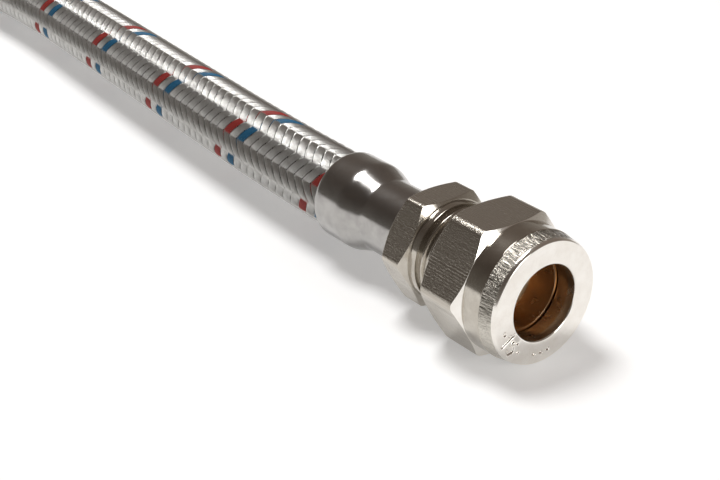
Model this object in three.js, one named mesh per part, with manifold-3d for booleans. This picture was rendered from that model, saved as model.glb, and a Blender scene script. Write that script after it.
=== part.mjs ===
// Flexible hose connector: a braided hose with a 15 mm compression end and a swivel tap nut end.
// Millimetres, +Z up. The fittings lie along X with the compression end at +X, resting on Z = 0.
// Their axes are parallel, and lie a little to either side of the middle.
// A "near" station is a distance back from the compression nut's face, and a "far" station is a
// distance in from the swivel nut's mouth.

import * as THREE from "three";
import { mergeVertices } from "three/addons/utils/BufferGeometryUtils.js";
import Module from "manifold-3d";

const wasm = await Module();
wasm.setup();

// Overall sizes
const TOTAL_LENGTH = 300;
const NEAR_SIDE = -3.9;
const FAR_SIDE = 5.17;
const CLEARANCE = 0.3;
const FACETS = 30;
const CHAMFER_SLOPE = Math.tan(THREE.MathUtils.degToRad(30));

// Waterway and thread sizes
const PIPE_BORE_R = 7.6;
const WATERWAY_R = 4.5;
const THREAD_R = 10.45;
const THREAD_LEAD_IN = 0.6;

// Compression nut
const NUT_ACROSS_FLATS = 26.2;
const NUT_LENGTH = 18.9;
const NUT_NOSE_LENGTH = 8.2;
const NUT_RING_R = 13.0;
const NUT_RING_WIDTH = 4.4;
const NUT_BAND_TAPER = 0.45;
const NUT_BAND_STEP = 0.05;
const NUT_FACE_BEVEL = 0.45;
const NUT_BEVEL_DEPTH = 0.35;
const NUT_LIP_LENGTH = 4.4;
const NUT_SEAT_DEPTH = 1.8;
const NUT_BACK_R = 12.6;

// Olive
const OLIVE_LENGTH = 6.2;
const OLIVE_EDGE = 0.45;
const OLIVE_SWELL = 0.95;

// Compression body
const BODY_MOUTH_WALL = 1.05;
const THREAD_LENGTH = 13.1;
const RELIEF_WIDTH = 1.0;
const RELIEF_DEPTH = 0.85;
const COLLAR_LENGTH = 1.8;
const BODY_ACROSS_FLATS = 21.8;
const BODY_HEX_LENGTH = 6.7;
const BODY_HEX_END_R = 10.6;
const SOCKET_DEPTH = 24;
const BODY_NECK_LENGTH = 2.5;

// Hose
const BRAID_R = 8.5;
const BRAID_WALL = 0.6;
const RUBBER_WALL = 1.5;
const HOSE_SIDES = 12;
const HOSE_STEPS = 14;

// Crimp ferrule, the same at both ends
const FERRULE_WALL = 0.65;
const FERRULE_NECK_R = 7.75;
const FERRULE_NECK_LENGTH = 10.3;
const FERRULE_CONE_LENGTH = 4;
const FERRULE_BARREL_LENGTH = 7.3;
const FERRULE_LIP_LENGTH = 1;
const FERRULE_LIP_DROP = 0.3;

// Barbed tail inside the hose, the same at both ends
const TAIL_BARBS = 3;
const TAIL_BARB_PITCH = 2.7;
const TAIL_BARB_DEPTH = 0.45;
const TAIL_NECK_R = FERRULE_NECK_R - 1.25;

// Swivel nut
const SWIVEL_ACROSS_FLATS = 24;
const SWIVEL_LENGTH = 14.5;
const SWIVEL_BACK_WALL = 3;
const SWIVEL_THREAD_R = 9.8;
const SWIVEL_END_R = 11.7;
const SWIVEL_MOUTH_R = 10.6;

// Tail insert and sealing washer
const FLANGE_R = 9.2;
const FLANGE_THICKNESS = 1.5;
const INSERT_NECK_R = 7.1;
const INSERT_NECK_SHOW = 1.1;
const WASHER_THICKNESS = 1.5;
const WASHER_HOLE_R = 5;

// Worked-out places
const NEAR_AXIS = new THREE.Vector3(0, NEAR_SIDE, NUT_ACROSS_FLATS / 2);
const MIDDLE = new THREE.Vector3(0, 0, 0);
const FAR_AXIS = new THREE.Vector3(0, FAR_SIDE, SWIVEL_ACROSS_FLATS / 2);
const SEAT_START = NUT_LIP_LENGTH;
const SEAT_TOP_R = PIPE_BORE_R + NUT_SEAT_DEPTH;
const CONE_GAP = CLEARANCE * Math.SQRT2;
const OLIVE_START = SEAT_START + OLIVE_EDGE + CONE_GAP;
const OLIVE_END = OLIVE_START + OLIVE_LENGTH;
const BODY_CONE_END = OLIVE_END + OLIVE_EDGE + CONE_GAP;
const BODY_FACE = BODY_CONE_END - (THREAD_R - BODY_MOUTH_WALL - PIPE_BORE_R);
const THREAD_END = BODY_FACE + THREAD_LENGTH;
const COLLAR_START = THREAD_END + RELIEF_WIDTH;
const HEX_START = COLLAR_START + COLLAR_LENGTH;
const HEX_END = HEX_START + BODY_HEX_LENGTH;
const BODY_NECK_END = HEX_END + BODY_NECK_LENGTH;
const NEAR_FERRULE_START = BODY_NECK_END + CLEARANCE;
const FERRULE_BARREL_R = BRAID_R + CLEARANCE + FERRULE_WALL;
const FERRULE_CONE_END = FERRULE_NECK_LENGTH + FERRULE_CONE_LENGTH;
const FERRULE_LENGTH = FERRULE_CONE_END + FERRULE_BARREL_LENGTH + FERRULE_LIP_LENGTH;
const HOSE_SETBACK = FERRULE_CONE_END + CLEARANCE;
const RUBBER_R = BRAID_R - BRAID_WALL - CLEARANCE;
const RUBBER_BORE_R = RUBBER_R - RUBBER_WALL;
const TAIL_R = RUBBER_BORE_R * Math.cos(Math.PI / HOSE_SIDES) - CLEARANCE;
const FLANGE_BACK = SWIVEL_LENGTH - SWIVEL_BACK_WALL - CLEARANCE;
const FLANGE_FRONT = FLANGE_BACK - FLANGE_THICKNESS;
const INSERT_NECK_END = SWIVEL_LENGTH + INSERT_NECK_SHOW;
const FAR_FERRULE_START = INSERT_NECK_END + CLEARANCE;

// The hose's route, chosen by hand: X, Y and Z of its centre line, from the near end to the far
// end. It leaves each ferrule straight, and steps sideways from one end's axis to the other's.
const HOSE_ROUTE = [
  [99.4, -3.9, 13.1], [95, -3.9, 13.1], [91, -3.89, 13.1], [86, -3.84, 13.1], [80, -3.73, 13.1],
  [72, -3.51, 13.1], [64, -3.19, 13.1], [56, -2.8, 13.1], [44, -2.1, 13.1], [32, -1.33, 13.1],
  [20, -0.54, 13.1], [8, 0.26, 13.1], [-4, 1.08, 13.1], [-16, 1.94, 13.03], [-28, 2.84, 12.91],
  [-40, 3.77, 12.75], [-52, 4.64, 12.57], [-64, 5.28, 12.38], [-76, 5.6, 12.21],
  [-88, 5.55, 12.08], [-98, 5.32, 12.02], [-106, 5.18, 12], [-112, 5.17, 12], [-119.2, 5.17, 12],
];

const nearX = (station) => TOTAL_LENGTH / 2 - station;
const farX = (station) => station - TOTAL_LENGTH / 2;
const cornerRadius = (acrossFlats) => acrossFlats / Math.sqrt(3);

// Merges the vertices of a closed geometry and turns its faces outward.
function closedGeometry(source) {
  const bare = source.clone();
  bare.deleteAttribute("normal");
  bare.deleteAttribute("uv");
  const merged = mergeVertices(bare, 1e-4);
  const place = merged.getAttribute("position");
  const corner = [new THREE.Vector3(), new THREE.Vector3(), new THREE.Vector3()];
  const faces = [];
  let volume = 0;
  for (let i = 0; i < merged.index.count; i += 3) {
    const ids = [0, 1, 2].map((k) => merged.index.getX(i + k));
    if (new Set(ids).size < 3) continue;
    corner.forEach((point, k) => point.fromBufferAttribute(place, ids[k]));
    volume += corner[0].dot(corner[1].cross(corner[2]));
    faces.push(ids);
  }
  if (volume < 0) faces.forEach((ids) => ids.reverse());
  merged.setIndex(faces.flat());
  return merged;
}

function toSolid(geometry) {
  const closed = closedGeometry(geometry);
  return new wasm.Manifold(new wasm.Mesh({
    numProp: 3,
    vertProperties: Float32Array.from(closed.getAttribute("position").array),
    triVerts: Uint32Array.from(closed.index.array),
  }));
}

function toGeometry(solid) {
  const mesh = solid.getMesh();
  const geometry = new THREE.BufferGeometry();
  geometry.setAttribute("position", new THREE.BufferAttribute(mesh.vertProperties, 3));
  geometry.setIndex(new THREE.BufferAttribute(mesh.triVerts, 1));
  return geometry;
}

// A round piece turned about X from a closed profile of [station, radius] points.
function turned(profile, stationToX) {
  const points = profile.map(([station, radius]) => new THREE.Vector2(radius, stationToX(station)));
  points.push(points[0].clone());
  return new THREE.LatheGeometry(points, FACETS).rotateZ(-Math.PI / 2);
}

// A turned blank milled to a hexagon that lies on one of its flats.
function milledHexagon(blank, acrossFlats) {
  const bar = new THREE.CylinderGeometry(
    cornerRadius(acrossFlats), cornerRadius(acrossFlats), 2 * TOTAL_LENGTH, 6,
  );
  bar.rotateZ(-Math.PI / 2).rotateX(Math.PI / 6);
  return toGeometry(toSolid(blank).intersect(toSolid(bar)));
}

function metal(color, roughness) {
  return new THREE.MeshStandardMaterial({ color, roughness, metalness: 1 });
}

const NICKEL = metal(0xb9b4ab, 0.28);
const BRASS = metal(0xa87748, 0.35);
const STAINLESS = metal(0xb4b2ae, 0.22);
const BRAID = metal(0xa9a8a4, 0.4);
const RUBBER = new THREE.MeshStandardMaterial({ color: 0x1b1b1b, roughness: 0.8, metalness: 0 });
const FIBRE = new THREE.MeshStandardMaterial({ color: 0x9c3b2e, roughness: 0.75, metalness: 0 });

const connector = new THREE.Group();
connector.name = "flexible_hose_connector";

function addPiece(name, geometry, material, place) {
  const piece = new THREE.Mesh(closedGeometry(geometry), material);
  piece.name = name;
  piece.position.copy(place);
  connector.add(piece);
}

// The points of a hexagon's chamfered corners on a profile, between two stations.
function hexagonZone(start, startR, end, endR, acrossFlats) {
  const corner = cornerRadius(acrossFlats) + CLEARANCE;
  return [
    [start, startR],
    [start + (corner - startR) * CHAMFER_SLOPE, corner],
    [end - (corner - endR) * CHAMFER_SLOPE, corner],
    [end, endR],
  ];
}

// Barbs that point away from the hose's end, from the neck down to the tail's tip.
function barbs(start) {
  const points = [];
  for (let i = 0; i < TAIL_BARBS; i += 1) {
    const station = start + i * TAIL_BARB_PITCH;
    points.push([station, TAIL_R], [station + TAIL_BARB_PITCH, TAIL_R - TAIL_BARB_DEPTH]);
  }
  return points;
}

function compressionNut() {
  const bandStartR = NUT_RING_R - NUT_BAND_TAPER;
  const threadR = THREAD_R + CLEARANCE;
  return milledHexagon(turned([
    [0, PIPE_BORE_R],
    [0, bandStartR - NUT_FACE_BEVEL],
    [NUT_BEVEL_DEPTH, bandStartR],
    [NUT_NOSE_LENGTH - NUT_RING_WIDTH, NUT_RING_R - NUT_BAND_STEP],
    [NUT_NOSE_LENGTH - NUT_RING_WIDTH, NUT_RING_R],
    ...hexagonZone(NUT_NOSE_LENGTH, NUT_RING_R, NUT_LENGTH, NUT_BACK_R, NUT_ACROSS_FLATS),
    [NUT_LENGTH, threadR + THREAD_LEAD_IN],
    [NUT_LENGTH - THREAD_LEAD_IN, threadR],
    [SEAT_START + NUT_SEAT_DEPTH, threadR],
    [SEAT_START + NUT_SEAT_DEPTH, SEAT_TOP_R],
    [SEAT_START, PIPE_BORE_R],
  ], nearX), NUT_ACROSS_FLATS);
}

function olive() {
  const edgeR = PIPE_BORE_R + OLIVE_EDGE;
  return turned([
    [OLIVE_START, PIPE_BORE_R],
    [OLIVE_START, edgeR],
    [OLIVE_START + OLIVE_SWELL, edgeR + OLIVE_SWELL],
    [OLIVE_END - OLIVE_SWELL, edgeR + OLIVE_SWELL],
    [OLIVE_END, edgeR],
    [OLIVE_END, PIPE_BORE_R],
  ], nearX);
}

function compressionBody() {
  const neckEnd = NEAR_FERRULE_START + HOSE_SETBACK - CLEARANCE;
  const tailEnd = neckEnd + TAIL_BARBS * TAIL_BARB_PITCH;
  return milledHexagon(turned([
    [BODY_CONE_END, PIPE_BORE_R],
    [BODY_FACE, THREAD_R - BODY_MOUTH_WALL],
    [BODY_FACE, THREAD_R - THREAD_LEAD_IN],
    [BODY_FACE + THREAD_LEAD_IN, THREAD_R],
    [THREAD_END, THREAD_R],
    [THREAD_END, THREAD_R - RELIEF_DEPTH],
    [COLLAR_START, THREAD_R - RELIEF_DEPTH],
    [COLLAR_START, THREAD_R],
    [HEX_START, THREAD_R],
    ...hexagonZone(HEX_START, BODY_HEX_END_R, HEX_END, BODY_HEX_END_R, BODY_ACROSS_FLATS),
    [HEX_END, FERRULE_NECK_R],
    [BODY_NECK_END, FERRULE_NECK_R],
    [BODY_NECK_END, TAIL_NECK_R],
    [neckEnd, TAIL_NECK_R],
    ...barbs(neckEnd),
    [tailEnd, WATERWAY_R],
    [SOCKET_DEPTH, WATERWAY_R],
    [SOCKET_DEPTH, PIPE_BORE_R],
  ], nearX), BODY_ACROSS_FLATS);
}

function ferrule(start, stationToX) {
  const boreR = BRAID_R + CLEARANCE;
  const neckBoreR = TAIL_NECK_R + CLEARANCE;
  const barrelEnd = FERRULE_CONE_END + FERRULE_BARREL_LENGTH;
  return turned([
    [0, neckBoreR],
    [0, FERRULE_NECK_R],
    [FERRULE_NECK_LENGTH, FERRULE_NECK_R],
    [FERRULE_CONE_END, FERRULE_BARREL_R],
    [barrelEnd, FERRULE_BARREL_R],
    [FERRULE_LENGTH, FERRULE_BARREL_R - FERRULE_LIP_DROP],
    [FERRULE_LENGTH, boreR],
    [FERRULE_CONE_END, boreR],
    [FERRULE_NECK_LENGTH + CLEARANCE, neckBoreR],
  ], (station) => stationToX(start + station));
}

function swivelNut() {
  return milledHexagon(turned([
    [0, SWIVEL_MOUTH_R],
    ...hexagonZone(0, SWIVEL_END_R, SWIVEL_LENGTH, SWIVEL_END_R, SWIVEL_ACROSS_FLATS),
    [SWIVEL_LENGTH, INSERT_NECK_R + CLEARANCE],
    [SWIVEL_LENGTH - SWIVEL_BACK_WALL, INSERT_NECK_R + CLEARANCE],
    [SWIVEL_LENGTH - SWIVEL_BACK_WALL, SWIVEL_THREAD_R],
    [SWIVEL_MOUTH_R - SWIVEL_THREAD_R, SWIVEL_THREAD_R],
  ], farX), SWIVEL_ACROSS_FLATS);
}

function tailInsert() {
  const neckEnd = FAR_FERRULE_START + HOSE_SETBACK - CLEARANCE;
  const tailEnd = neckEnd + TAIL_BARBS * TAIL_BARB_PITCH;
  return turned([
    [FLANGE_FRONT, WATERWAY_R],
    [FLANGE_FRONT, FLANGE_R],
    [FLANGE_BACK, FLANGE_R],
    [FLANGE_BACK, INSERT_NECK_R],
    [INSERT_NECK_END, INSERT_NECK_R],
    [INSERT_NECK_END, TAIL_NECK_R],
    [neckEnd, TAIL_NECK_R],
    ...barbs(neckEnd),
    [tailEnd, WATERWAY_R],
  ], farX);
}

function sealingWasher() {
  const back = FLANGE_FRONT - CLEARANCE;
  return turned([
    [back - WASHER_THICKNESS, WASHER_HOLE_R],
    [back - WASHER_THICKNESS, FLANGE_R],
    [back, FLANGE_R],
    [back, WASHER_HOLE_R],
  ], farX);
}

// A hose wall swept along the route.
function hoseWall(outerR, innerR) {
  const circle = (radius) => Array.from({ length: HOSE_SIDES }, (_, i) => {
    const angle = (2 * Math.PI * i) / HOSE_SIDES;
    return new THREE.Vector2(radius * Math.cos(angle), radius * Math.sin(angle));
  });
  const section = new THREE.Shape(circle(outerR));
  section.holes.push(new THREE.Path(circle(innerR)));
  const route = new THREE.CatmullRomCurve3(HOSE_ROUTE.map((point) => new THREE.Vector3(...point)));
  return new THREE.ExtrudeGeometry(section, {
    extrudePath: route, steps: HOSE_STEPS, curveSegments: 1, bevelEnabled: false,
  });
}

addPiece("compression_nut", compressionNut(), NICKEL, NEAR_AXIS);
addPiece("olive", olive(), BRASS, NEAR_AXIS);
addPiece("compression_body", compressionBody(), NICKEL, NEAR_AXIS);
addPiece("ferrule_near", ferrule(NEAR_FERRULE_START, nearX), STAINLESS, NEAR_AXIS);
addPiece("inner_hose", hoseWall(RUBBER_R, RUBBER_BORE_R), RUBBER, MIDDLE);
addPiece("braid_sleeve", hoseWall(BRAID_R, BRAID_R - BRAID_WALL), BRAID, MIDDLE);
addPiece("ferrule_far", ferrule(FAR_FERRULE_START, farX), STAINLESS, FAR_AXIS);
addPiece("tail_insert", tailInsert(), NICKEL, FAR_AXIS);
addPiece("swivel_nut", swivelNut(), NICKEL, FAR_AXIS);
addPiece("sealing_washer", sealingWasher(), FIBRE, FAR_AXIS);

export default connector;
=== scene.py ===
# Flexible hose connector: the visual model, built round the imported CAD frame.
import math

import bmesh
import bpy
import numpy as np
from mathutils import Matrix, Vector


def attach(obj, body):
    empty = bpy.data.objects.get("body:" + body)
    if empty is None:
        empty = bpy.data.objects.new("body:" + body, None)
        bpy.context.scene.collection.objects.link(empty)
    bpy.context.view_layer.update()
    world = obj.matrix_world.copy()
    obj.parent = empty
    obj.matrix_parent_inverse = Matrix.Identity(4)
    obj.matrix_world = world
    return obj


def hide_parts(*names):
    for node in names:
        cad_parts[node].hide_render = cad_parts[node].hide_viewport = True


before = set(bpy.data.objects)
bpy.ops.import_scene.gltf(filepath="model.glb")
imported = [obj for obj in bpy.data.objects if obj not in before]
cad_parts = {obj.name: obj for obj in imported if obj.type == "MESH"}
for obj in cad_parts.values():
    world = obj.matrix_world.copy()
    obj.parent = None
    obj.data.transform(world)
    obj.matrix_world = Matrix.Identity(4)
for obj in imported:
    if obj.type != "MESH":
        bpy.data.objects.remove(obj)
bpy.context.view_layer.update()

MM = 0.001
MERGE_DISTANCE = 1e-7
TAU = 2 * math.pi
SIXTH = TAU / 6
TWELFTH = TAU / 12

# The connector's sizes are in millimetres, the camera's and the stage's places in metres.
# An axis is a (y, z) place. A near station counts from the compression nut's face, and a far
# station from the swivel nut's mouth.
HALF_LENGTH = 150.0
NEAR_AXIS = (-3.9, 13.1)
FAR_AXIS = (5.17, 12.0)
PIPE_BORE_R = 7.6
WATERWAY_R = 4.5
TAIL_NECK_R = 6.5
CHAMFER_SLOPE = math.tan(TWELFTH)


# Camera, whose offset runs along its own right, up and back directions

CAMERA_AZIMUTH = math.radians(52.45)
CAMERA_ELEVATION = math.radians(27.05)
CAMERA_OFFSET = (-0.0336, 0.0115, 0.2721)
LENS_MM = 75
SENSOR_MM = 36


def make_camera():
    """The photograph's viewpoint, placed from the centre of the nut's face."""
    sin_a, cos_a = math.sin(CAMERA_AZIMUTH), math.cos(CAMERA_AZIMUTH)
    sin_e, cos_e = math.sin(CAMERA_ELEVATION), math.cos(CAMERA_ELEVATION)
    right = Vector((cos_a, sin_a, 0))
    up = Vector((-sin_a * sin_e, cos_a * sin_e, cos_e))
    back = Vector((sin_a * cos_e, -cos_a * cos_e, sin_e))
    face = Vector((HALF_LENGTH * MM, NEAR_AXIS[0] * MM, NEAR_AXIS[1] * MM))
    place = face + right * CAMERA_OFFSET[0] + up * CAMERA_OFFSET[1] + back * CAMERA_OFFSET[2]
    data = bpy.data.cameras.new("camera")
    data.lens = LENS_MM
    data.sensor_width = SENSOR_MM
    data.clip_start = 0.01
    data.clip_end = 50
    camera = bpy.data.objects.new("camera", data)
    turn = Matrix((right, up, back)).transposed().to_4x4()
    camera.matrix_world = Matrix.Translation(place) @ turn
    bpy.context.scene.collection.objects.link(camera)
    bpy.context.scene.camera = camera


make_camera()


# Materials

def material(name, color, roughness, metallic=0.0):
    made = bpy.data.materials.new(name)
    made.use_nodes = True
    shader = made.node_tree.nodes["Principled BSDF"]
    shader.inputs["Base Color"].default_value = (*color, 1)
    shader.inputs["Roughness"].default_value = roughness
    shader.inputs["Metallic"].default_value = metallic
    return made, made.node_tree, shader


def add_node(tree, kind, values=None, **settings):
    """A node whose inputs are set to the given values or linked to the given sockets."""
    node = tree.nodes.new(kind)
    for key, value in settings.items():
        setattr(node, key, value)
    for key, value in (values or {}).items():
        if isinstance(value, bpy.types.NodeSocket):
            tree.links.new(value, node.inputs[key])
        else:
            node.inputs[key].default_value = value
    return node


def calculate(tree, operation, first, second):
    return add_node(tree, "ShaderNodeMath", {0: first, 1: second}, operation=operation).outputs[0]


def scaled_place(tree, axis, scale=(1, 1, 1)):
    """Object coordinates measured from the piece's axis, times a scale for each direction."""
    place = add_node(tree, "ShaderNodeTexCoord").outputs["Object"]
    centre = (0, axis[0] * MM, axis[1] * MM)
    centred = add_node(tree, "ShaderNodeVectorMath", {0: place, 1: centre}, operation="SUBTRACT").outputs[0]
    return add_node(tree, "ShaderNodeVectorMath", {0: centred, 1: scale}, operation="MULTIPLY").outputs[0]


def axial_radial(tree, axis, scale):
    """A vector of (distance along X, distance from the axis), for lines turned on a lathe."""
    x, y, z = add_node(tree, "ShaderNodeSeparateXYZ", {0: scaled_place(tree, axis)}).outputs
    flat = add_node(tree, "ShaderNodeCombineXYZ", {1: y, 2: z}).outputs[0]
    radius = add_node(tree, "ShaderNodeVectorMath", {0: flat}, operation="LENGTH").outputs["Value"]
    along, out = (calculate(tree, "MULTIPLY", value, scale) for value in (x, radius))
    return add_node(tree, "ShaderNodeCombineXYZ", {0: along, 1: out}).outputs[0]


def noise(tree, vector, scale, detail, rough):
    values = {"Vector": vector, "Scale": scale, "Detail": detail, "Roughness": rough}
    return add_node(tree, "ShaderNodeTexNoise", values).outputs["Fac"]


def remap(tree, value, low, high, to_low, to_high):
    values = {"Value": value, "From Min": low, "From Max": high, "To Min": to_low, "To Max": to_high}
    return add_node(tree, "ShaderNodeMapRange", values).outputs["Result"]


def blend_colors(tree, factor, first, second):
    made = add_node(tree, "ShaderNodeMix", {0: factor, 6: (*first, 1), 7: (*second, 1)}, data_type="RGBA")
    return made.outputs[2]


def paint(tree, shader, colors, stain_and_shade, roughness=None):
    """Lets a stain value, which on the cast band also holds painted shade, run the base colour between two
    colours, and links the roughness.
    """
    tree.links.new(blend_colors(tree, stain_and_shade, *colors), shader.inputs["Base Color"])
    if roughness is not None:
        tree.links.new(roughness, shader.inputs["Roughness"])


def bump(tree, shader, layers):
    """Chains bump layers of (height value, strength, depth) into the shader's normal."""
    normal = None
    for value, strength, depth in layers:
        values = {"Height": value, "Strength": strength, "Distance": depth * MM}
        if normal is not None:
            values["Normal"] = normal
        normal = add_node(tree, "ShaderNodeBump", values).outputs["Normal"]
    tree.links.new(normal, shader.inputs["Normal"])


def turned_metal(name, colors, axis, smooth, rough, line_depth):
    """A lathe-turned face: fine lines round the axis, with small stains and changes of polish."""
    made, tree, shader = material(name, colors[0], smooth, 1.0)
    lines = noise(tree, axial_radial(tree, axis, 9000), 1.0, 4.0, 0.7)
    clouds = noise(tree, scaled_place(tree, axis), 330.0, 4.0, 0.6)
    polish = remap(tree, clouds, 0.3, 0.72, smooth, rough)
    paint(tree, shader, colors, remap(tree, clouds, 0.35, 0.7, 0, 1), polish)
    bump(tree, shader, [(lines, 0.5, line_depth)])
    return made


def streaked_metal(name, colors, axis, smooth, rough, streak_depth, grain_depth, painted_shade_above=False):
    """A drawn or cast face: streaks along the axis over a fine grain, stained all round; for the cast band
    the stain also carries painted shade, made stronger above the axis and weaker below it.
    """
    made, tree, shader = material(name, colors[0], smooth, 1.0)
    streaks = noise(tree, scaled_place(tree, axis, (60, 2600, 2600)), 1.0, 4.0, 0.7)
    fine = noise(tree, scaled_place(tree, axis, (220, 7000, 7000)), 1.0, 2.0, 0.6)
    grain = noise(tree, scaled_place(tree, axis), 2600.0, 3.0, 0.6)
    stain_and_shade = remap(tree, streaks, 0.35, 0.68, 0, 1)
    # Painted shade: the stain grows above the axis and fades below it, darkening the upper side as a dark
    # reflection would.
    if painted_shade_above:
        height = add_node(tree, "ShaderNodeSeparateXYZ", {0: scaled_place(tree, axis)}).outputs[2]
        stain_and_shade = calculate(tree, "MULTIPLY", stain_and_shade, remap(tree, height, -3 * MM, 2 * MM, 0.1, 1.25))
    paint(tree, shader, colors, stain_and_shade, remap(tree, streaks, 0.3, 0.7, smooth, rough))
    layers = [(streaks, 0.8, streak_depth), (fine, 0.6, streak_depth * 0.4), (grain, 0.7, grain_depth)]
    bump(tree, shader, layers)
    return made


def wire_metal(name, colors, smooth, rough):
    made, tree, shader = material(name, colors[0], smooth, 1.0)
    clouds = noise(tree, scaled_place(tree, NEAR_AXIS), 500.0, 3.0, 0.6)
    polish = remap(tree, clouds, 0.3, 0.7, smooth, rough)
    paint(tree, shader, colors, remap(tree, clouds, 0.35, 0.68, 0, 1), polish)
    return made


def dull(name, colors, roughness, grain_scale, grain_depth):
    """Rubber, fibre board and coloured yarn: a matt face with a fine grain."""
    made, tree, shader = material(name, colors[0], roughness)
    grain = noise(tree, scaled_place(tree, NEAR_AXIS), grain_scale, 4.0, 0.6)
    paint(tree, shader, colors, remap(tree, grain, 0.35, 0.68, 0, 1))
    bump(tree, shader, [(grain, 0.6, grain_depth)])
    return made


# Each metal's colour and its stained colour; the cast nickel's second colour is partly painted shade
BRIGHT_NICKEL = ((0.87, 0.845, 0.80), (0.80, 0.765, 0.71))
DARK_NICKEL = ((0.54, 0.51, 0.455), (0.43, 0.395, 0.345))
# The cast band's near-black second colour is partly real staining in its streaks and partly painted dark
# reflection.
CAST_NICKEL_AND_SHADE = ((0.62, 0.59, 0.53), (0.13, 0.12, 0.10))
BRASS = ((0.88, 0.66, 0.44), (0.76, 0.55, 0.36))
STEEL = ((0.43, 0.42, 0.405), (0.34, 0.33, 0.32))
WIRE_STEEL = ((0.64, 0.635, 0.615), (0.50, 0.49, 0.47))
RED = ((0.42, 0.045, 0.035), (0.30, 0.03, 0.025))
BLUE = ((0.02, 0.16, 0.30), (0.015, 0.11, 0.22))
BLACK_RUBBER = ((0.022, 0.022, 0.022), (0.035, 0.035, 0.035))
RED_FIBRE = ((0.36, 0.07, 0.045), (0.25, 0.05, 0.035))

FACE = turned_metal("nickel_turned_near", BRIGHT_NICKEL, NEAR_AXIS, smooth=0.12, rough=0.22, line_depth=0.012)
# The cast band's stain carries painted shade, darkest above the axis.
CAST = streaked_metal(
    "nickel_cast_near", CAST_NICKEL_AND_SHADE, NEAR_AXIS,
    smooth=0.17, rough=0.32, streak_depth=0.2, grain_depth=0.12, painted_shade_above=True,
)
RING = turned_metal("nickel_ring_near", DARK_NICKEL, NEAR_AXIS, smooth=0.10, rough=0.17, line_depth=0.004)
FLATS = streaked_metal(
    "nickel_flats_near", DARK_NICKEL, NEAR_AXIS, smooth=0.17, rough=0.30, streak_depth=0.04, grain_depth=0.10,
)
BORE_BRASS = turned_metal("brass_turned_near", BRASS, NEAR_AXIS, smooth=0.22, rough=0.29, line_depth=0.008)
BORE_NICKEL = turned_metal(
    "nickel_bore_near", BRIGHT_NICKEL, NEAR_AXIS, smooth=0.20, rough=0.30, line_depth=0.012,
)
FERRULE_METAL = turned_metal("sleeve_steel", STEEL, NEAR_AXIS, smooth=0.14, rough=0.21, line_depth=0.003)
WIRE = wire_metal("braid_wire", WIRE_STEEL, smooth=0.31, rough=0.40)
RED_YARN = dull("tracer_red", RED, roughness=0.55, grain_scale=3000.0, grain_depth=0.02)
BLUE_YARN = dull("tracer_blue", BLUE, roughness=0.55, grain_scale=3000.0, grain_depth=0.02)
RUBBER = dull("hose_rubber", BLACK_RUBBER, roughness=0.7, grain_scale=900.0, grain_depth=0.03)
FIBRE = dull("washer_fibre", RED_FIBRE, roughness=0.75, grain_scale=1500.0, grain_depth=0.05)
FAR_FACE = turned_metal("nickel_turned_far", DARK_NICKEL, FAR_AXIS, smooth=0.12, rough=0.22, line_depth=0.008)
FAR_FLATS = streaked_metal(
    "nickel_flats_far", DARK_NICKEL, FAR_AXIS, smooth=0.12, rough=0.22, streak_depth=0.012, grain_depth=0.003,
)


# Hose

HOSE_ROUTE = [
    (99.4, -3.9, 13.1), (95, -3.9, 13.1), (91, -3.89, 13.1), (86, -3.84, 13.1), (80, -3.73, 13.1),
    (72, -3.51, 13.1), (64, -3.19, 13.1), (56, -2.8, 13.1), (44, -2.1, 13.1), (32, -1.33, 13.1),
    (20, -0.54, 13.1), (8, 0.26, 13.1), (-4, 1.08, 13.1), (-16, 1.94, 13.03), (-28, 2.84, 12.91),
    (-40, 3.77, 12.75), (-52, 4.64, 12.57), (-64, 5.28, 12.38), (-76, 5.6, 12.21),
    (-88, 5.55, 12.08), (-98, 5.32, 12.02), (-106, 5.18, 12), (-112, 5.17, 12), (-119.2, 5.17, 12),
]
ROUTE_STEP = 0.5
RUBBER_R = 7.6
RUBBER_BORE_R = 6.1
RUBBER_SIDES = 48
RUBBER_ROWS = 110

CARRIERS = 12
WIRES = 8
WIRE_R = 0.135
WIRE_SPACING = 0.32
# A wire's three-sided section as (across, outward), a little wider than the wire
WIRE_SECTION = np.array([(0.0, 0.62), (-1.0, -0.38), (1.0, -0.38)]) * WIRE_R * 1.12
BRAID_MID_R = 8.18
BRAID_WAVE = 0.15
BUNDLE_CROWN = 0.09
WAVE_SHARPNESS = 2.2
FLOATS = CARRIERS // 2
FLOAT_ANGLE = math.radians(22)
STRAND_SAMPLES = 296

# Where a strand first crosses the red yarn's row, and the length of hose in which it makes a turn
FIRST_MARK = 8.8
LEAD = 34.7
RED_ANGLE = math.radians(142)
BLUE_LEAD = 2


def smooth_route():
    """Points of the hose's centre line, close together, on a smooth curve through the route."""
    route = np.array(HOSE_ROUTE, float)
    x = route[:, 0]
    slope = np.gradient(route, x, axis=0)
    at = np.append(np.arange(x[0], x[-1], -ROUTE_STEP), x[-1])
    part = np.clip(np.searchsorted(-x, -at, side="right") - 1, 0, len(x) - 2)
    span = (x[part + 1] - x[part])[:, None]
    t = (at[:, None] - route[part, :1]) / span
    return (
        (2 * t**3 - 3 * t**2 + 1) * route[part] + (t**3 - 2 * t**2 + t) * span * slope[part]
        + (3 * t**2 - 2 * t**3) * route[part + 1] + (t**3 - t**2) * span * slope[part + 1]
    )


ROUTE = smooth_route()
ROUTE_ARC = np.append(0, np.cumsum(np.linalg.norm(np.diff(ROUTE, axis=0), axis=1)))
ROUTE_AHEAD = np.gradient(ROUTE, ROUTE_ARC, axis=0)


def unit(vectors):
    return vectors / np.linalg.norm(vectors, axis=-1, keepdims=True)


def round_angles(count):
    return np.linspace(0, TAU, count + 1)


def along_route(values, arc):
    return np.stack([np.interp(arc, ROUTE_ARC, values[:, k]) for k in range(3)], -1)


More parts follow.
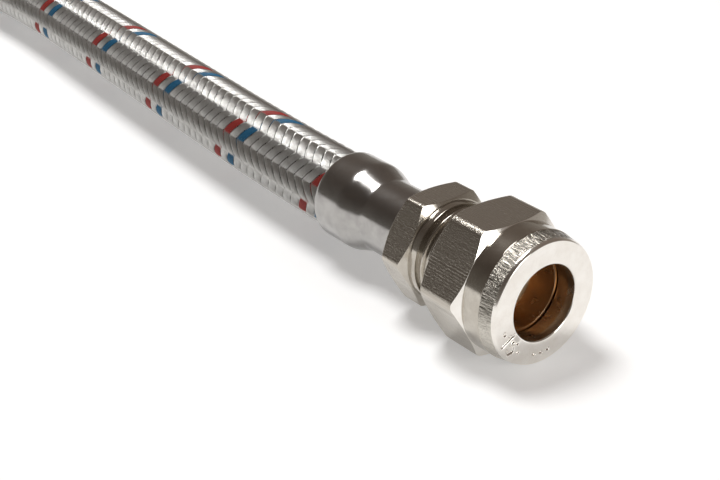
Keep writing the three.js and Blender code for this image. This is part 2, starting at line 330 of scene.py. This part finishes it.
def around_hose(arc, angle, radius):
    """Points at a distance along the hose, an angle from +Y towards +Z, and a radius."""
    ahead = along_route(ROUTE_AHEAD, arc)
    side = unit(np.cross(np.array([0.0, 0.0, 1.0]), -ahead))
    rise = unit(np.cross(side, ahead))
    out = side * np.cos(angle)[..., None] + rise * np.sin(angle)[..., None]
    return along_route(ROUTE, arc) + out * np.asarray(radius)[..., None]


def turns(arc):
    """How many turns a strand has made at a distance along the hose, counted from the first red mark."""
    return (arc - FIRST_MARK) / LEAD


def wave(angle):
    """Whether a strand of the first hand runs over (1) or under (-1) at an angle round the hose."""
    return np.tanh(WAVE_SHARPNESS * np.cos(FLOATS * (angle - FLOAT_ANGLE))) / math.tanh(WAVE_SHARPNESS)


def link(obj):
    bpy.context.scene.collection.objects.link(obj)
    return obj


def strand_wire(hand, strand, wire):
    """The rows of one wire of a flat, slightly crowned bundle, each a three-sided ring."""
    arc = np.linspace(0, ROUTE_ARC[-1], STRAND_SAMPLES)
    across = wire / (WIRES - 1) * 2 - 1
    shift = across * (WIRES - 1) / 2 * WIRE_SPACING
    angle = RED_ANGLE + hand * TAU * (turns(arc - shift) + strand / CARRIERS)
    radius = BRAID_MID_R + hand * BRAID_WAVE * wave(angle) - BUNDLE_CROWN * across**2
    line = around_hose(arc, angle, radius)
    out = around_hose(arc, angle, radius + 1.0) - line
    side = unit(np.cross(np.gradient(line, axis=0), out))
    return np.stack([line + out * up + side * wide for wide, up in WIRE_SECTION], 1).reshape(-1, 3)


def strand_set(name, hand, materials, kinds):
    """Twelve bundles of wire wound one way, which pass over two and under two of the other set."""
    sides = len(WIRE_SECTION)
    row = sides * np.arange(STRAND_SAMPLES - 1)
    walls = []
    for k in range(sides):
        a, b = row + k, row + (k + 1) % sides
        walls.append(np.stack([a, b, b + sides, a + sides], 1))
    points, faces, slots = [], [], []
    for strand in range(CARRIERS):
        for wire in range(WIRES):
            start = sides * STRAND_SAMPLES * len(points)
            points.append(strand_wire(hand, strand, wire))
            faces.append(np.concatenate(walls) + start)
            slots.append(np.full(len(faces[-1]), kinds.get(strand, 0)))
    underside = np.concatenate([np.full(len(row), k == 1) for k in range(sides)])
    flat = np.tile(underside, len(points))
    ends = sides * STRAND_SAMPLES * np.arange(len(points))
    tips = np.concatenate([
        np.stack([ends + 2, ends + 1, ends], 1),
        np.stack([ends, ends + 1, ends + 2], 1) + sides * (STRAND_SAMPLES - 1),
    ])
    mesh = bpy.data.meshes.new(name)
    mesh.from_pydata(
        (np.concatenate(points) * MM).tolist(), [], np.concatenate(faces).tolist() + tips.tolist(),
    )
    mesh.polygons.foreach_set("use_smooth", np.append(~flat, np.zeros(len(tips), bool)))
    mesh.polygons.foreach_set("material_index", np.append(np.concatenate(slots), np.zeros(len(tips), int)))
    for entry in materials:
        mesh.materials.append(entry)
    mesh.update()
    return link(bpy.data.objects.new(name, mesh))


def finish_mesh(name, points, faces, kinds, materials):
    """A smooth-shaded piece with doubled points merged and faces turned outward."""
    mesh = bpy.data.meshes.new(name)
    mesh.from_pydata((np.asarray(points) * MM).tolist(), [], np.asarray(faces).tolist())
    mesh.polygons.foreach_set("material_index", np.asarray(kinds, dtype=np.int32))
    mesh.polygons.foreach_set("use_smooth", np.ones(len(faces), bool))
    for entry in materials:
        mesh.materials.append(entry)
    work = bmesh.new()
    work.from_mesh(mesh)
    bmesh.ops.remove_doubles(work, verts=work.verts, dist=MERGE_DISTANCE)
    bmesh.ops.recalc_face_normals(work, faces=work.faces)
    work.to_mesh(mesh)
    work.free()
    mesh.update()
    return link(bpy.data.objects.new(name, mesh))


def grid_faces(rows, columns):
    """Quads that join each row of columns + 1 points to the next row, and the last row to the first."""
    wide = columns + 1
    row, column = np.meshgrid(np.arange(rows), np.arange(columns), indexing="ij")
    above, below = row * wide + column, (row + 1) % rows * wide + column
    return np.stack([above, above + 1, below + 1, below], -1).reshape(-1, 4)


def rubber_tube():
    arc = np.linspace(0, ROUTE_ARC[-1], RUBBER_ROWS)
    angle = round_angles(RUBBER_SIDES)
    walls = [(arc, RUBBER_R), (arc[::-1], RUBBER_BORE_R)]
    rows = [around_hose(np.full(len(angle), a), angle, radius) for line, radius in walls for a in line]
    faces = grid_faces(len(rows), RUBBER_SIDES)
    return finish_mesh("rubber_tube", np.concatenate(rows), faces, np.zeros(len(faces)), [RUBBER])


braid_right = strand_set("braid_right_hand", 1, [WIRE, RED_YARN, BLUE_YARN], {0: 1, BLUE_LEAD: 2})
braid_left = strand_set("braid_left_hand", -1, [WIRE], {})
tube = rubber_tube()
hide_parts("braid_sleeve")
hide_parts("inner_hose")
for piece, finish in ((braid_right, "steel_braid"), (braid_left, "steel_braid"), (tube, "hose_rubber")):
    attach(piece, "hose_assembly")


# Turned and milled pieces. A profile is a closed list of (station, radius, material number, edge size).

CORNER_COLUMNS = 5
CORNER_MARGIN = math.radians(0.7)
FLAT_COLUMNS = 15

THREAD_PITCH = 1.814
THREAD_ROWS = 12
THREAD_ROOT = 0.12
THREAD_FLANK = 0.72

BARBS = 3
BARB_PITCH = 2.7
BARB_R = 5.59
BARB_ROOT_R = 5.14
TAIL_LENGTH = BARBS * BARB_PITCH


def near_x(station):
    return HALF_LENGTH - station


def far_x(station):
    return station - HALF_LENGTH


class Hexagon:
    """A hexagon bar with rounded corners, lying on one of its flats."""

    def __init__(self, across_flats, corner):
        self.flat = across_flats / 2
        self.corner = corner
        self.centre = (self.flat - corner) / math.cos(TWELFTH)
        self.arc = TWELFTH - math.atan((self.flat - corner) * math.tan(TWELFTH) / self.flat)

    def angles(self):
        """Angles round the axis, close together at the corners, from 0 to a full turn."""
        near = [*np.linspace(0, self.arc, CORNER_COLUMNS), self.arc + CORNER_MARGIN]
        steps = [*near, *np.linspace(near[-1], SIXTH - near[-1], FLAT_COLUMNS)[1:-1]]
        steps += [SIXTH - a for a in near[:0:-1]]
        return np.array([side * SIXTH + a for side in range(6) for a in steps] + [TAU])

    def radius(self, angles):
        from_corner = np.abs((angles + TWELFTH) % SIXTH - TWELFTH)
        round_part = np.sqrt(np.maximum(self.corner**2 - (self.centre * np.sin(from_corner)) ** 2, 0))
        return np.where(
            from_corner < self.arc,
            self.centre * np.cos(from_corner) + round_part,
            self.flat / np.cos(TWELFTH - from_corner),
        )

    def zone(self, angles, start, start_r, end, end_r, kinds, ease):
        """Profile points of a bar whose corners are chamfered from each end's radius."""
        surface = self.radius(angles)
        chamfer, flats, back = kinds
        return [
            (start, start_r, chamfer, ease),
            (start + (surface - start_r) * CHAMFER_SLOPE, surface, flats, ease),
            (end - (surface - end_r) * CHAMFER_SLOPE, surface, chamfer, ease),
            (end, end_r, back, ease),
        ]


def eased(points, angles):
    """Turns each hard corner of a closed profile into a narrow bevel with a support row on each side."""
    spread = [np.stack([np.broadcast_to(p[k], angles.shape).astype(float) for k in (0, 1)]) for p in points]
    rows = []
    for i, (_, _, kind, ease) in enumerate(points):
        here, before, after = spread[i], spread[i - 1], spread[(i + 1) % len(points)]
        if not ease:
            rows.append((here, kind))
            continue
        for there, order, own in ((before, (2, 0.5), points[i - 1][2]), (after, (0.5, 2), kind)):
            away = there - here
            reach = np.maximum(np.linalg.norm(away, axis=0), 1e-9)
            step = away / reach * np.minimum(ease, 0.2 * reach)
            for amount in order:
                rows.append((here + step * amount, own if amount == 2 else kind))
    return rows


def turned_piece(name, profile, angles, axis, to_x, materials, shape=None):
    """A piece from a closed profile round an axis along X."""
    rows = eased(profile, angles)
    station = np.stack([row[0][0] for row in rows])
    radius = np.stack([row[0][1] for row in rows])
    if shape:
        station, radius = shape(station, radius, angles)
    place = np.stack([
        to_x(station), axis[0] + radius * np.cos(angles), axis[1] + radius * np.sin(angles),
    ], -1).reshape(-1, 3)
    columns = len(angles) - 1
    kinds = np.repeat([row[1] for row in rows], columns)
    return finish_mesh(name, place, grid_faces(len(rows), columns), kinds, materials)


def thread(start, length, minor, major, lead, kind, angles, inside=False):
    """Rows of a right-hand helical thread between two stations, cut back by a cone at each end."""
    count = math.ceil(length / THREAD_PITCH * THREAD_ROWS)
    rows = []
    for k in range(-THREAD_ROWS, count + 1):
        station = np.clip(THREAD_PITCH * (k / THREAD_ROWS + angles / TAU), 0, length)
        phase = (station / THREAD_PITCH - angles / TAU) % 1.0
        height = np.clip((1 - np.abs(2 * phase - 1) - THREAD_ROOT) / THREAD_FLANK, 0, 1)
        cut = np.maximum(lead - np.minimum(station, length - station), 0)
        if inside:
            radius = np.maximum(major - (major - minor) * height, minor + cut)
        else:
            radius = np.minimum(minor + (major - minor) * height, major - cut)
        rows.append((start + station, radius, kind, 0))
    return rows


def curve(points, kind):
    """Smooth rows with no edge of their own."""
    return [(s, r, kind, 0) for s, r in points]


def rounded(points, curve_step=0.3, straight_step=1.2):
    """Points along an outline of (station, radius, reach), which rounds each inner corner by its reach."""
    path = []
    for before, (s, r, reach), after in zip(points, points[1:], points[2:]):
        here = np.array([s, r])
        start, end = (here + unit(np.array(there[:2]) - here) * reach for there in (before, after))
        for t in np.linspace(0, 1, max(5, math.ceil(2 * reach / curve_step))):
            path.append(start * (1 - t) ** 2 + here * 2 * t * (1 - t) + end * t**2)
    full = []
    for a, b in zip(path[:-1], path[1:]):
        steps = max(1, math.ceil(np.linalg.norm(b - a) / straight_step))
        full += [a + (b - a) * k / steps for k in range(steps)]
    return [tuple(p) for p in full + [path[-1]]]


def dress(obj, body, finish, *nodes):
    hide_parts(*nodes)
    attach(obj, body)


NUT_BAR = Hexagon(26.2, 2.0)
NUT_LENGTH = 18.9
NUT_NOSE_LENGTH = 8.2
NUT_RING_R = 13.02
NUT_BACK_R = 12.6
NUT_THREAD_R = 10.75
NUT_LIP_LENGTH = 4.4
NUT_LIP_ROUND = 0.35
NUT_SEAT_R = 9.4
NUT_SEAT_END = 6.2
NUT_FACE_R = 12.05
NUT_FACE_ROWS = np.linspace(8.6, 11.7, 42)
NUT_BEVEL_DEPTH = 0.45
NUT_BEVEL_RISE = 0.37
NUT_BAND_R = 12.9
NUT_BAND_TAPER = 0.45
NUT_BAND_END = 3.75
PLATING_DEPTH = 1.9

# The punched number and dots: a sign's strokes, and each sign's angle round the face in degrees
MARK_DEPTH = 0.3
MARK_HALF_WIDTH = 0.26
MARK_SIZE = 1.5
MARK_R = 10.15
MARKED_RING = (8.2, 12.0)
MARK_STROKES = {
    "1": [((-0.35, 0.55), (0.0, 0.9)), ((0.0, 0.9), (0.0, -0.9))],
    "5": [
        ((0.45, 0.9), (-0.4, 0.9)), ((-0.4, 0.9), (-0.45, 0.1)), ((-0.45, 0.1), (0.2, 0.2)),
        ((0.2, 0.2), (0.5, -0.3)), ((0.5, -0.3), (0.2, -0.85)), ((0.2, -0.85), (-0.45, -0.75)),
    ],
    ".": [((-0.12, 0.0), (0.12, 0.0))],
}
MARKS = [(".", 198), ("1", 209), ("5", 220), (".", 232), (".", 258), (".", 268), (".", 278)]
MARK_COLUMNS = np.radians(np.linspace(192, 292, 250))

# The ribs lie across part of one flat, from a little above its middle downwards
RIB_PITCH = 0.6
RIB_DEPTH = 0.02
RIB_FLAT = math.radians(150)
RIB_START = -0.5
RIB_END = 5.3
RIB_FADE = 0.8

# The cast band's ripples: waves round the nut, slant along it and phase
RIPPLE_DEPTH = 0.01
RIPPLES = [(83, 1.3, 0.0), (139, -2.1, 1.0), (197, 0.7, 2.0), (263, 1.9, 4.0)]
RIPPLE_COLUMNS = np.radians(np.linspace(60, 191, 340))


def mark_press(radius, angles):
    """How far the punched number and dots are pressed into the nut's face, at each place on it."""
    press = np.zeros(np.broadcast(radius, angles).shape)
    for sign, degrees in MARKS:
        turn = angles - math.radians(degrees)
        across = radius * np.sin(turn)
        out = MARK_R - radius * np.cos(turn)
        for (ax, ay), (bx, by) in MARK_STROKES[sign]:
            from_x, from_y = across - ax * MARK_SIZE, out - ay * MARK_SIZE
            run_x, run_y = (bx - ax) * MARK_SIZE, (by - ay) * MARK_SIZE
            part = np.clip((from_x * run_x + from_y * run_y) / (run_x**2 + run_y**2), 0, 1)
            gap = np.hypot(from_x - part * run_x, from_y - part * run_y)
            near = np.clip(1.5 - gap / MARK_HALF_WIDTH, 0, 1) * (np.cos(turn) > 0)
            press = np.maximum(press, near * near * (3 - 2 * near))
    return press * MARK_DEPTH


def rib_cut(angles):
    """How deep the ribs cut into the nut's left flat, at each angle round the nut."""
    turn = angles - RIB_FLAT
    across = NUT_BAR.flat * np.tan(np.clip(turn, -0.5, 0.5))
    zone = np.clip(across - RIB_START, 0, 1) * np.clip((RIB_END - across) / RIB_FADE, 0, 1)
    zone = zone * (np.abs(turn) < 0.45)
    return RIB_DEPTH * (0.5 - 0.5 * np.cos(TAU * across / RIB_PITCH)) * zone


def nut_shape(station, radius, angles):
    """Punches the marks into the face, ripples the cast band and ribs one flat."""
    on_face = (station < 0.001) & (radius > MARKED_RING[0]) & (radius < MARKED_RING[1])
    on_flat = np.isclose(radius, NUT_BAR.radius(angles), atol=1e-4)
    on_band = (station > 0.8) & (station < 3.7) & (radius > 12.3) & (radius < 12.95)
    station = np.where(on_face, station + mark_press(radius, angles), station)
    ripple = sum(np.sin(count * angles + slant * station + start) for count, slant, start in RIPPLES)
    radius = np.where(on_band, radius + RIPPLE_DEPTH * (ripple - len(RIPPLES)), radius)
    return station, np.where(on_flat, radius - rib_cut(angles), radius)


def compression_nut():
    angles = np.union1d(np.union1d(NUT_BAR.angles(), MARK_COLUMNS), RIPPLE_COLUMNS)
    face, cast, ring, flats, inner, mouth = range(6)
    lip = [
        (NUT_LIP_ROUND * (1 - math.sin(a)), PIPE_BORE_R + NUT_LIP_ROUND * (1 - math.cos(a)))
        for a in np.linspace(0, math.pi / 2, 6)
    ]
    bevel = [
        (NUT_BEVEL_DEPTH * (1 - math.cos(a)), NUT_FACE_R + NUT_BEVEL_RISE * math.sin(a))
        for a in np.linspace(0, 1.25, 6)
    ]
    band = [
        (s, NUT_BAND_R - NUT_BAND_TAPER * (1 - s / NUT_BAND_END) ** 1.4)
        for s in np.linspace(0.75, 3.65, 9)
    ]
    profile = [
        *curve(lip, face),
        *curve([(0, r) for r in NUT_FACE_ROWS], face),
        *curve(bevel, face),
        *curve(band, cast),
        (3.8, NUT_BAND_R, ring, 0.03),
        (3.9, NUT_RING_R, ring, 0.06),
        *NUT_BAR.zone(
            angles, NUT_NOSE_LENGTH, NUT_RING_R, NUT_LENGTH, NUT_BACK_R, (face, flats, face), 0.07,
        ),
        (NUT_LENGTH, NUT_THREAD_R + 0.6, inner, 0.08),
        (NUT_LENGTH - 0.6, NUT_THREAD_R, inner, 0.05),
        (NUT_SEAT_END, NUT_THREAD_R, inner, 0.05),
        (NUT_SEAT_END, NUT_SEAT_R, inner, 0.05),
        (NUT_LIP_LENGTH, PIPE_BORE_R, inner, 0.05),
        (PLATING_DEPTH, PIPE_BORE_R, mouth, 0),
    ]
    metals = [FACE, CAST, RING, FLATS, BORE_BRASS, BORE_NICKEL]
    made = turned_piece("nut_shell", profile, angles, NEAR_AXIS, near_x, metals, nut_shape)
    dress(made, "compression_nut", "nickel_plate", "compression_nut")


def olive():
    start, end, edge_r = 5.27, 11.47, 8.05
    middle = (start + end) / 2
    swell = [
        (middle - 3.0 * math.cos(a), 8.1 + 0.9 * math.sin(a) ** 0.7)
        for a in np.linspace(0.02, math.pi - 0.02, 15)
    ]
    profile = [
        (start, PIPE_BORE_R, 0, 0.05),
        (start, edge_r, 0, 0.03),
        *curve(swell, 0),
        (end, edge_r, 0, 0.03),
        (end, PIPE_BORE_R, 0, 0.05),
    ]
    made = turned_piece("olive_brass", profile, round_angles(96), NEAR_AXIS, near_x, [BORE_BRASS])
    dress(made, "olive_ring", "bare_brass", "olive")


def tail(start, kind):
    """Profile points of the barbed tail that holds the rubber tube, from its neck to its end."""
    points = [(start, TAIL_NECK_R, kind, 0.05)]
    for i in range(BARBS):
        points += [
            (start + BARB_PITCH * i, BARB_R, kind, 0.05),
            (start + BARB_PITCH * (i + 1), BARB_ROOT_R, kind, 0.05),
        ]
    return [*points, (start + TAIL_LENGTH, WATERWAY_R, kind, 0.05)]


def compression_body():
    bar = Hexagon(21.8, 1.2)
    angles = bar.angles()
    skin, flats, inner = range(3)
    mouth, thread_length, socket_end = 10.55, 13.1, 24.0
    relief_end, hex_start, hex_end, neck_end = 24.65, 26.45, 33.15, 35.65
    relief_r, collar_r, neck_r = 9.6, 10.45, 7.75
    profile = [
        (mouth + 1.8, PIPE_BORE_R, inner, 0.05),
        (mouth, 9.4, inner, 0.04),
        *thread(mouth, thread_length, 9.45, collar_r, 0.6, skin, angles),
        (mouth + thread_length, relief_r, skin, 0.04),
        (relief_end, relief_r, skin, 0.04),
        (relief_end, collar_r, skin, 0.06),
        (hex_start, collar_r, skin, 0.04),
        *bar.zone(angles, hex_start, 10.6, hex_end, 10.6, (skin, flats, skin), 0.06),
        (hex_end, neck_r, skin, 0.06),
        (neck_end, neck_r, skin, 0.08),
        (neck_end, TAIL_NECK_R, inner, 0.05),
        *tail(50.25, inner),
        (socket_end, WATERWAY_R, inner, 0.05),
        (socket_end, PIPE_BORE_R, inner, 0.05),
    ]
    metals = [RING, FLATS, BORE_BRASS]
    made = turned_piece("body_fitting", profile, angles, NEAR_AXIS, near_x, metals)
    dress(made, "hose_assembly", "nickel_plate", "compression_body")


def ferrule(name, node, start, axis, to_x):
    skin, inner = range(2)
    length, neck_r, barrel_r, lip_r = 22.6, 7.75, 9.45, 9.2
    neck_inside_r, barrel_inside_r = 6.8, 8.8
    outline = rounded([
        (0, neck_r, 0), (9.6, neck_r, 0.5), (14.6, barrel_r, 1.0), (length - 0.5, barrel_r, 0.4),
        (length, lip_r, 0),
    ])
    profile = [
        (start, neck_inside_r, skin, 0.05),
        (start, neck_r, skin, 0.1),
        *curve([(start + s, r) for s, r in outline], skin),
        (start + length, lip_r, skin, 0.06),
        (start + length, barrel_inside_r, inner, 0.06),
        (start + 14.3, barrel_inside_r, inner, 0.06),
        (start + 10.3, neck_inside_r, inner, 0.06),
    ]
    made = turned_piece(name, profile, round_angles(144), axis, to_x, [FERRULE_METAL, RING])
    dress(made, "hose_assembly", "stainless_sleeve", node)


def tail_insert():
    skin, inner = range(2)
    flange_front, flange_back, neck_end = 9.7, 11.2, 15.6
    flange_r, neck_r = 9.2, 7.1
    profile = [
        (flange_front, WATERWAY_R, skin, 0.05),
        (flange_front, flange_r, skin, 0.08),
        (flange_back, flange_r, skin, 0.06),
        (flange_back, neck_r, skin, 0.06),
        (neck_end, neck_r, skin, 0.08),
        (neck_end, TAIL_NECK_R, inner, 0.05),
        *tail(30.2, inner),
    ]
    made = turned_piece("far_insert", profile, round_angles(96), FAR_AXIS, far_x, [FAR_FACE, BORE_BRASS])
    dress(made, "hose_assembly", "nickel_plate", "tail_insert")


def swivel_nut():
    bar = Hexagon(24.0, 1.0)
    angles = bar.angles()
    skin, flats = range(2)
    length, wall_start, bore_r, thread_r, mouth_r, end_r = 14.5, 11.5, 7.4, 9.8, 10.6, 11.7
    profile = [
        (0, mouth_r, skin, 0.08),
        *bar.zone(angles, 0, end_r, length, end_r, (skin, flats, skin), 0.07),
        (length, bore_r, skin, 0.08),
        (wall_start, bore_r, skin, 0.05),
        (wall_start, thread_r, skin, 0.05),
        *thread(0.8, 8.9, thread_r, 10.5, 0.4, skin, angles, inside=True)[::-1],
    ]
    made = turned_piece("swivel_shell", profile, angles, FAR_AXIS, far_x, [FAR_FACE, FAR_FLATS])
    dress(made, "swivel_nut", "nickel_plate", "swivel_nut")


def sealing_washer():
    corners = [(7.9, 5.0), (7.9, 9.2), (9.4, 9.2), (9.4, 5.0)]
    profile = [(s, r, 0, 0.12) for s, r in corners]
    made = turned_piece("fibre_ring", profile, round_angles(96), FAR_AXIS, far_x, [FIBRE])
    dress(made, "hose_assembly", "washer_fibre", "sealing_washer")


compression_nut()
olive()
compression_body()
ferrule("ferrule_near_sleeve", "ferrule_near", 35.95, NEAR_AXIS, near_x)
ferrule("ferrule_far_sleeve", "ferrule_far", 15.9, FAR_AXIS, far_x)
tail_insert()
swivel_nut()
sealing_washer()


# Stage and light

ROOM_LOW = (0.39, 0.36, 0.325)
ROOM_HIGH = (0.185, 0.152, 0.13)
FLOOR_REACH = 4.0
FLOOR_COLOR = (0.82, 0.82, 0.82)
FLOOR_GLOW = 0.32
LAMP_TARGET = (0.11, 0, 0.012)


def make_floor():
    """A pale floor that keeps the connector's shadow and looks white where it is lit."""
    mesh = bpy.data.meshes.new("floor")
    corners = [(-1, -1), (1, -1), (1, 1), (-1, 1)]
    mesh.from_pydata([(x * FLOOR_REACH, y * FLOOR_REACH, 0) for x, y in corners], [], [(0, 1, 2, 3)])
    made = bpy.data.materials.new("floor")
    made.use_nodes = True
    tree = made.node_tree
    tree.nodes.clear()
    path = add_node(tree, "ShaderNodeLightPath").outputs
    seen = calculate(tree, "MAXIMUM", path["Is Camera Ray"], path["Is Glossy Ray"])
    seen = calculate(tree, "MAXIMUM", seen, path["Is Transmission Ray"])
    matt = add_node(tree, "ShaderNodeBsdfDiffuse", {"Color": (*FLOOR_COLOR, 1)})
    glow = add_node(tree, "ShaderNodeEmission", {"Strength": calculate(tree, "MULTIPLY", seen, FLOOR_GLOW)})
    both = add_node(tree, "ShaderNodeAddShader", {0: matt.outputs[0], 1: glow.outputs[0]})
    add_node(tree, "ShaderNodeOutputMaterial", {"Surface": both.outputs[0]})
    mesh.materials.append(made)
    link(bpy.data.objects.new("floor", mesh))


def make_world():
    """A dim brown room that is lightest near the horizon."""
    world = bpy.data.worlds.new("world")
    world.use_nodes = True
    tree = world.node_tree
    place = add_node(tree, "ShaderNodeTexCoord").outputs["Generated"]
    _, across, height = add_node(tree, "ShaderNodeSeparateXYZ", {0: place}).outputs
    color = blend_colors(tree, remap(tree, height, 0.0, 0.5, 0, 1), ROOM_LOW, ROOM_HIGH)
    tree.links.new(color, tree.nodes["Background"].inputs["Color"])
    tree.links.new(remap(tree, across, -0.6, 0.1, 0.5, 1.0), tree.nodes["Background"].inputs["Strength"])
    bpy.context.scene.world = world


def make_lamp(name, direction, distance, size, power):
    """A soft lamp that shines at the near end from a direction and a distance."""
    data = bpy.data.lights.new(name, "AREA")
    data.shape = "ELLIPSE"
    data.size, data.size_y = size
    data.energy = power
    lamp = link(bpy.data.objects.new(name, data))
    toward = Vector(direction).normalized()
    lamp.location = Vector(LAMP_TARGET) + toward * distance
    lamp.rotation_euler = toward.to_track_quat("Z", "Y").to_euler()


make_floor()
make_world()
make_lamp("key", (-0.36, -0.07, 0.93), distance=1.4, size=(0.62, 0.5), power=14.0)
make_lamp("side", (0.94, 0.05, 0.33), distance=0.9, size=(0.4, 0.4), power=2.4)
bpy.context.scene.view_settings.view_transform = "Standard"
